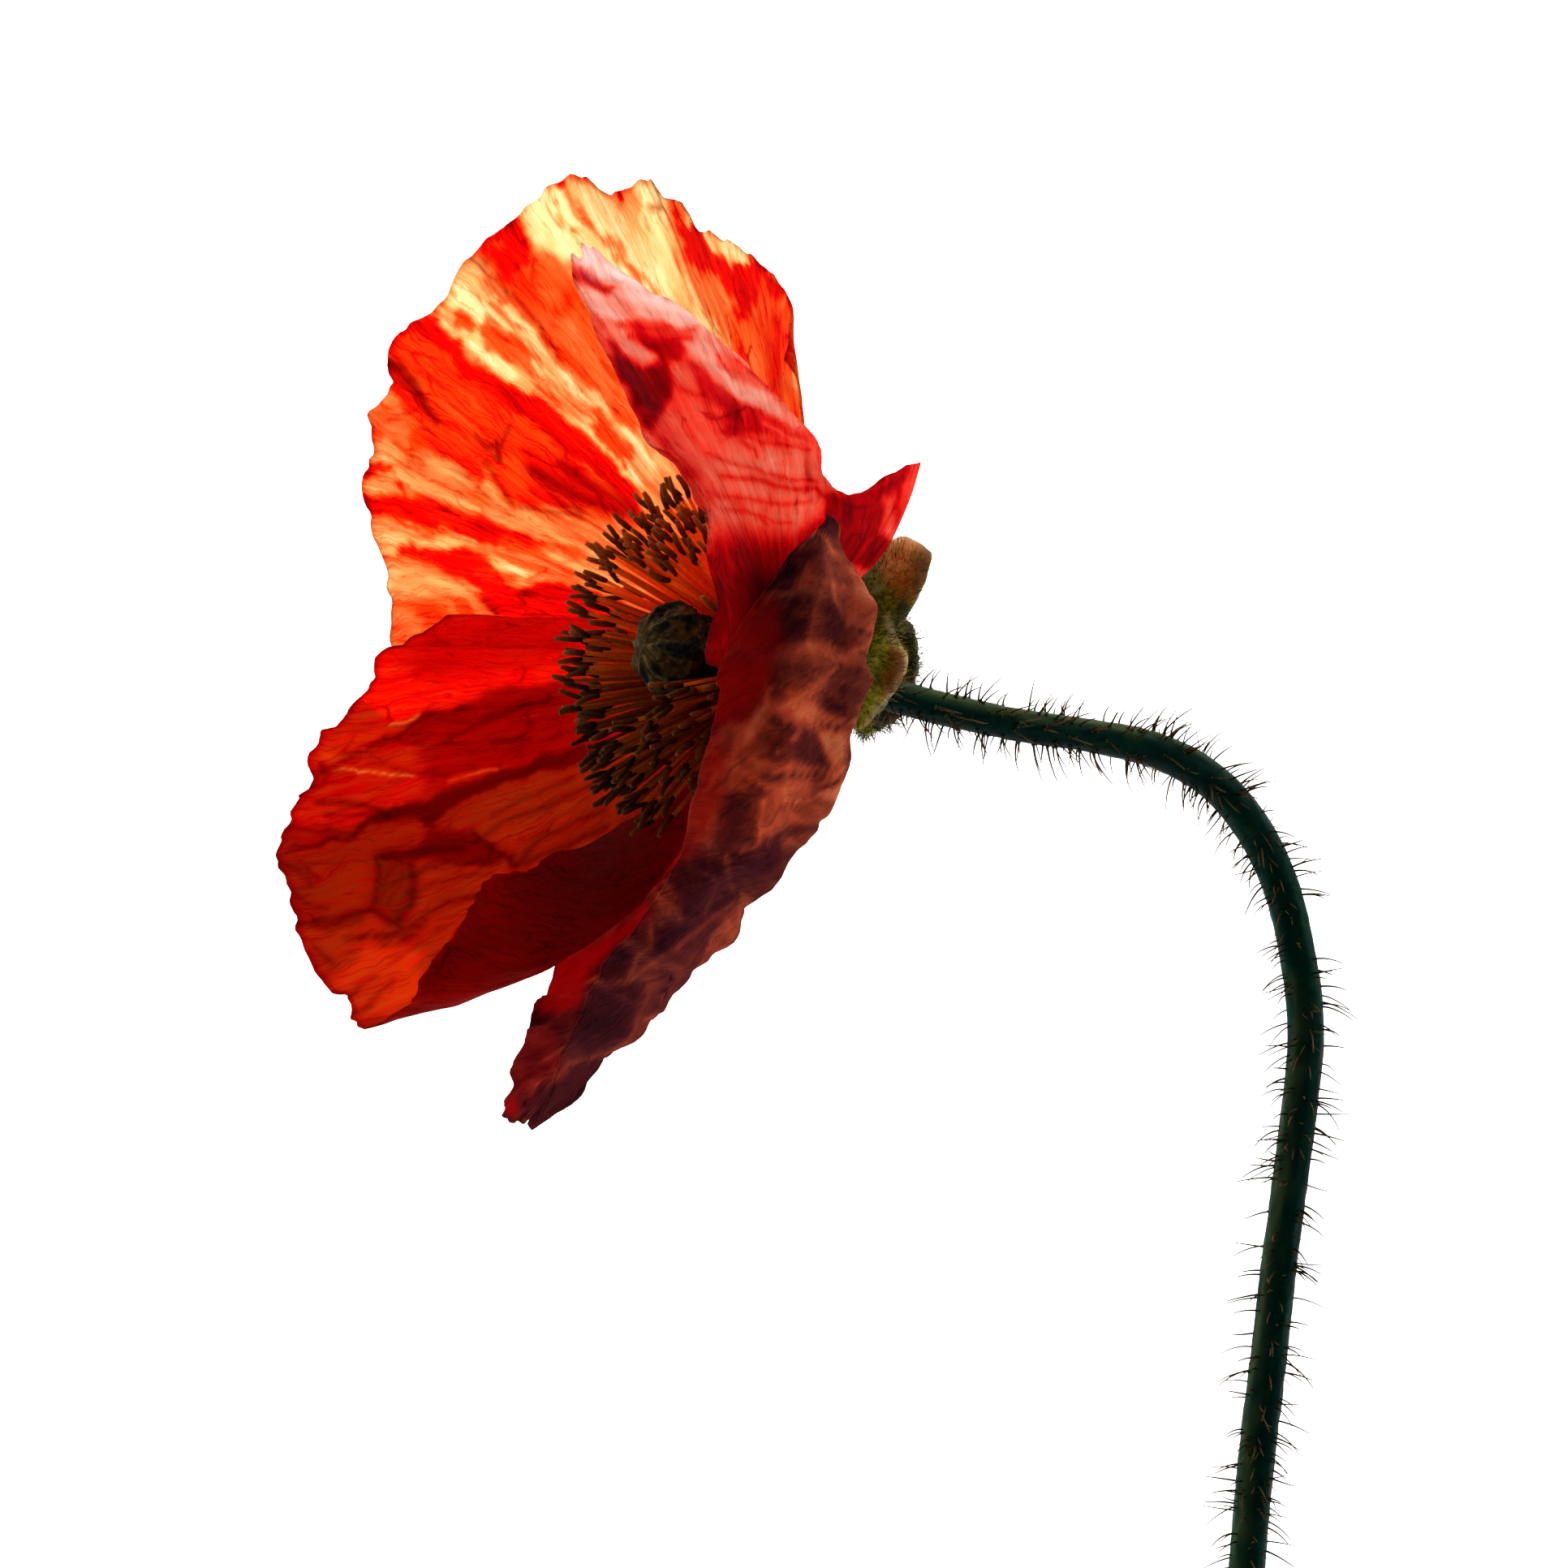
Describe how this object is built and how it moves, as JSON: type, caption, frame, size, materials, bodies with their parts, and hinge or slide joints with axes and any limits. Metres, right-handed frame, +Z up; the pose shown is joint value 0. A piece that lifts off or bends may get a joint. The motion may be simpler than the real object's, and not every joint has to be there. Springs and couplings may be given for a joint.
{
  "type": "poppy flower",
  "caption": "Cut Iceland poppy flower lying on its side: crinkled cupped petals, a boss of stamens round a ribbed pistil, bent-back bud husk halves and a bristly stem bent over.",
  "frame": {"origin": "on the surface that the flower lies on, under the centre of its bounding box", "axes": "+Z up from the surface, +Y level, from the stem's cut end towards the bloom and the part's longest extent, +X level, from the open face of the bloom towards the bend of the stem"},
  "size_m": [0.0918, 0.1416, 0.0475],
  "materials": {
    "petal_orange": "satin",
    "petal_red": "satin",
    "stem_green": "satin",
    "husk_green": "matte",
    "stamen_amber": "satin",
    "pistil_olive": "matte"
  },
  "bodies": {
    "root": {"stem": "stem_green", "petal_far_upper": "petal_orange", "petal_far_lower": "petal_orange", "petal_near_upper": "petal_red", "petal_near_lower": "petal_red", "sepal_upper": "husk_green", "sepal_lower": "husk_green", "stamens": "stamen_amber", "pistil": "pistil_olive"}
  },
  "joints": []
}
